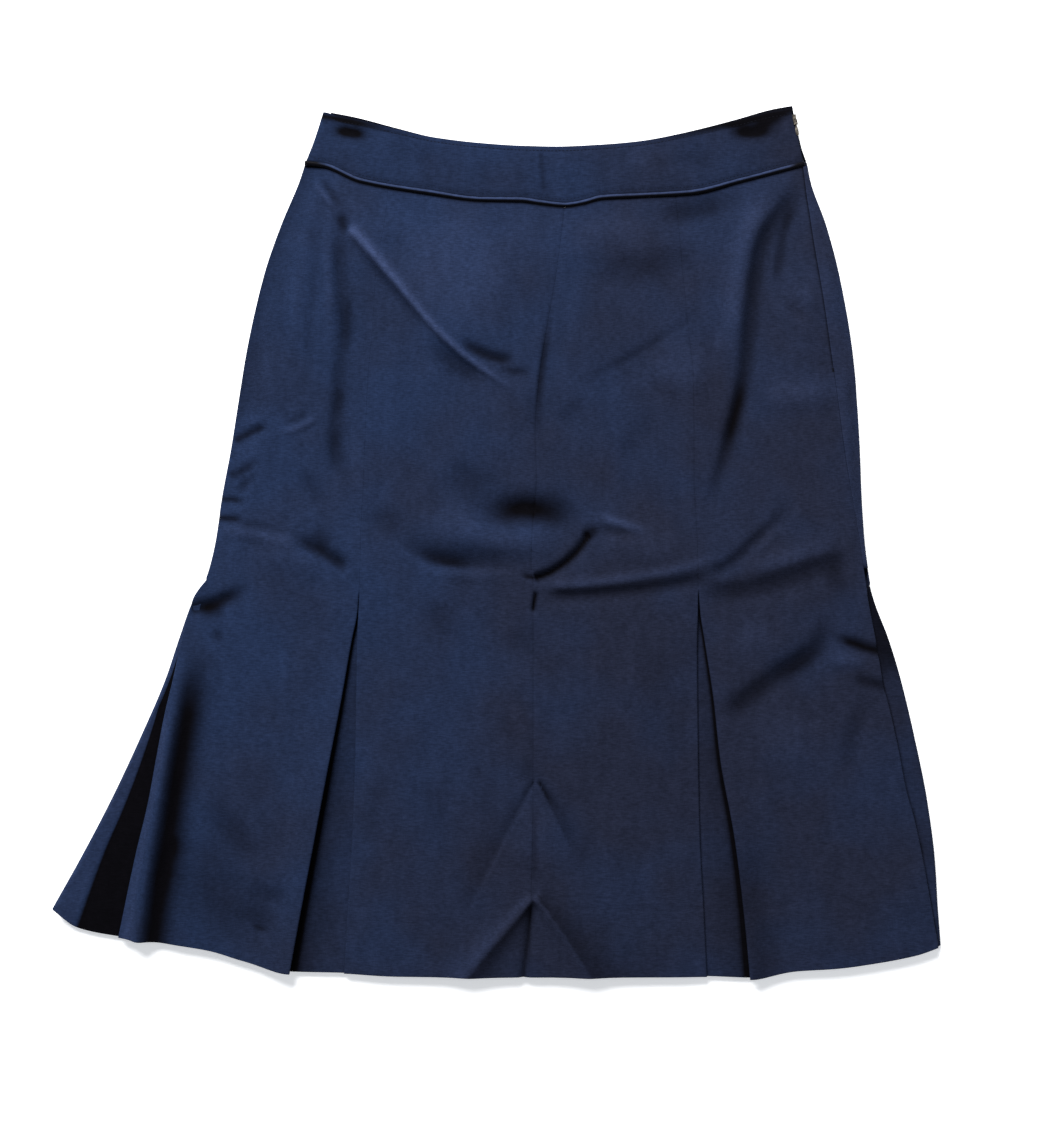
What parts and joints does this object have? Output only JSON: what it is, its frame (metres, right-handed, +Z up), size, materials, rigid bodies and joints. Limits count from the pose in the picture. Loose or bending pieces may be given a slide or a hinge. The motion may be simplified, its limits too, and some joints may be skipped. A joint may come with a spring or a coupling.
{
  "type": "pleated skirt",
  "caption": "Knee-length flared skirt in plain suiting with a contoured waistband, piped waist seam, inverted pleats let into the seams and a side zip, laid flat face up.",
  "frame": {"origin": "on the surface that the skirt lies on, under the middle of its outline", "axes": "+X to the right and +Y from hem to waist, seen from above; +Z up, out of the front"},
  "size_m": [0.6749, 0.664, 0.0143],
  "materials": {
    "suiting": "matt worsted wool with a faint sheen, fine plain weave",
    "waistband": "same suiting, interlined and edge-stitched",
    "piping": "satin-faced covered cord in the same navy",
    "zip_tape": "woven polyester tape",
    "zip_metal": "small worn nickel-plated zip parts"
  },
  "bodies": {
    "skirt": {"front_centre_left": "suiting", "front_centre_right": "suiting", "front_side_left": "suiting", "front_side_right": "suiting", "back_centre_left": "suiting", "back_centre_right": "suiting", "back_side_left": "suiting", "back_side_right": "suiting", "front_pleat_underlay_left": "suiting", "front_pleat_underlay_right": "suiting", "side_pleat_underlay_left": "suiting", "side_pleat_underlay_right": "suiting", "back_pleat_underlay_left": "suiting", "back_pleat_underlay_right": "suiting", "waistband_front": "waistband", "waistband_back": "waistband", "piping_front": "piping", "piping_back": "piping", "zip_tape": "zip_tape", "zip_slider": "zip_metal"},
    "pull_tab": {"zip_pull_tab": "zip_metal"}
  },
  "joints": [
    {"name": "pull_tab_hinge", "type": "hinge", "parent": "skirt", "child": "pull_tab", "pos_m": [0.22703, 0.31868, 0.00615], "axis": [-0.982, -0.1891, 0], "range_deg": [0, 150]}
  ]
}
